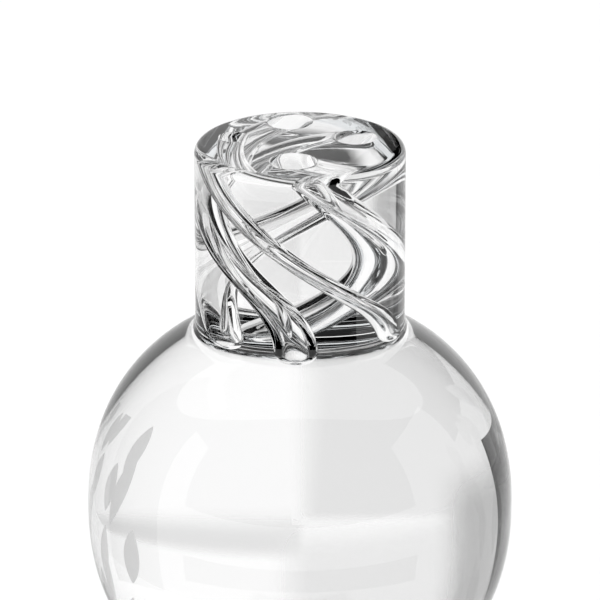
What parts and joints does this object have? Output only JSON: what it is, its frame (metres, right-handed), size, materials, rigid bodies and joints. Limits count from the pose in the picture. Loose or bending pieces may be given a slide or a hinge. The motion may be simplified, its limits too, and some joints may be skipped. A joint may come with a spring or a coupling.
{
  "type": "glass dip pen",
  "caption": "Clear glass dip pen with a fluted nib, twisted air-channel shaft, solid ball end and a flat-topped finial pierced by twisted channels.",
  "frame": {"origin": "tip of the nib, at the bottom centre of the bounding box", "axes": "+Z along the pen's axis from the nib tip to the flat top of the finial; -Y is the side the finial's nearest channel opens on"},
  "size_m": [0.02, 0.02, 0.165],
  "materials": {
    "clear_glass": "fire polished",
    "cool_glass": "fire polished"
  },
  "bodies": {
    "root": {"fluted_nib": "cool_glass", "grip": "clear_glass", "grip_collar": "cool_glass", "cane_shaft": "clear_glass", "upper_collar": "cool_glass", "glass_ball": "clear_glass", "twist_finial": "clear_glass"}
  },
  "joints": []
}
